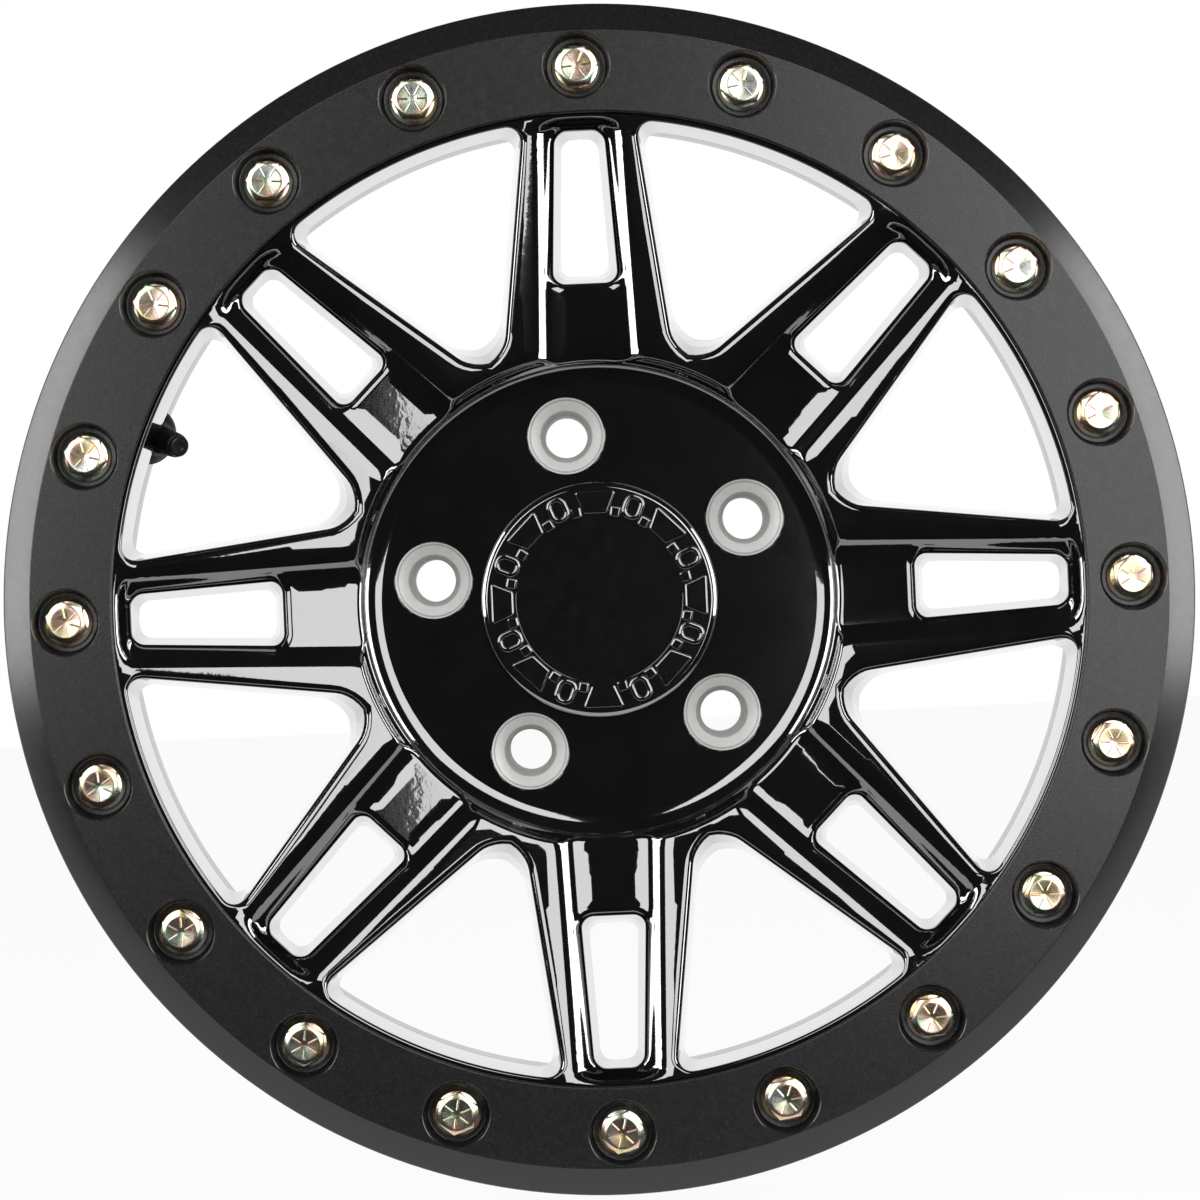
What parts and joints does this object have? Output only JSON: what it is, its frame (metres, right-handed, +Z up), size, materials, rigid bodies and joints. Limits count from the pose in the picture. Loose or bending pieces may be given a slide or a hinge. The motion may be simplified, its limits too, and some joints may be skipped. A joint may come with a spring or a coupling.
{
  "type": "beadlock wheel",
  "caption": "Cast alloy off-road wheel with split spokes, a bolted outer ring that clamps the tyre bead, a snap-in centre cap and a rubber snap-in valve.",
  "frame": {"origin": "centre of the wheel's hub mounting face, on the wheel axis", "axes": "-Y outboard along the wheel axis, +Y inboard towards the vehicle, +Z up with the wheel standing as on the vehicle"},
  "size_m": [0.4147, 0.2043, 0.4148],
  "materials": {
    "gloss_black_casting": "cast aluminium in gloss black powder coat, bare metal in the nut seats",
    "satin_black_ring": "machined aluminium in satin black coat",
    "zinc_plated_steel": "yellow zinc plate",
    "gloss_black_plastic": "gloss",
    "spring_steel": "drawn wire",
    "black_rubber": "moulded rubber",
    "stem_brass": "turned brass",
    "core_brass": "turned brass",
    "gasket_plastic": "moulded",
    "core_steel": "drawn",
    "seal_rubber": "moulded rubber",
    "matte_black_plastic": "moulded, ribbed"
  },
  "bodies": {
    "wheel": {"wheel_casting": "gloss_black_casting", "beadlock_ring": "satin_black_ring", "ring_bolts": "zinc_plated_steel", "centre_cap": "gloss_black_plastic", "cap_wire_ring": "spring_steel", "valve_rubber": "black_rubber", "valve_stem": "stem_brass", "core_housing": "core_brass", "core_gasket": "gasket_plastic", "core_spring": "spring_steel"},
    "valve_pin": {"core_pin": "core_steel", "core_cup": "seal_rubber"},
    "cap_travel": {"valve_cap_seal": "seal_rubber"},
    "valve_cap": {"valve_cap": "matte_black_plastic"}
  },
  "joints": [
    {"name": "pin_press", "type": "slide", "parent": "wheel", "child": "valve_pin", "axis": [-0.5688, 0.788, 0.2356], "range_m": [0, 0.0015], "stiffness_N_per_m": 600, "springref_m": -0.002, "deforming": ["core_spring"]},
    {"name": "cap_lift", "type": "slide", "parent": "wheel", "child": "cap_travel", "axis": [0.5688, -0.788, -0.2356], "range_m": [0, 0.0095]},
    {"name": "cap_turn", "type": "hinge", "parent": "cap_travel", "child": "valve_cap", "pos_m": [-0.15383, -0.004, 0.06372], "axis": [0.5688, -0.788, -0.2356], "range_deg": [0, 4320]}
  ],
  "couplings": [
    {"joint": "cap_turn", "follows": "cap_lift", "rad_per_m": 7913.3}
  ]
}
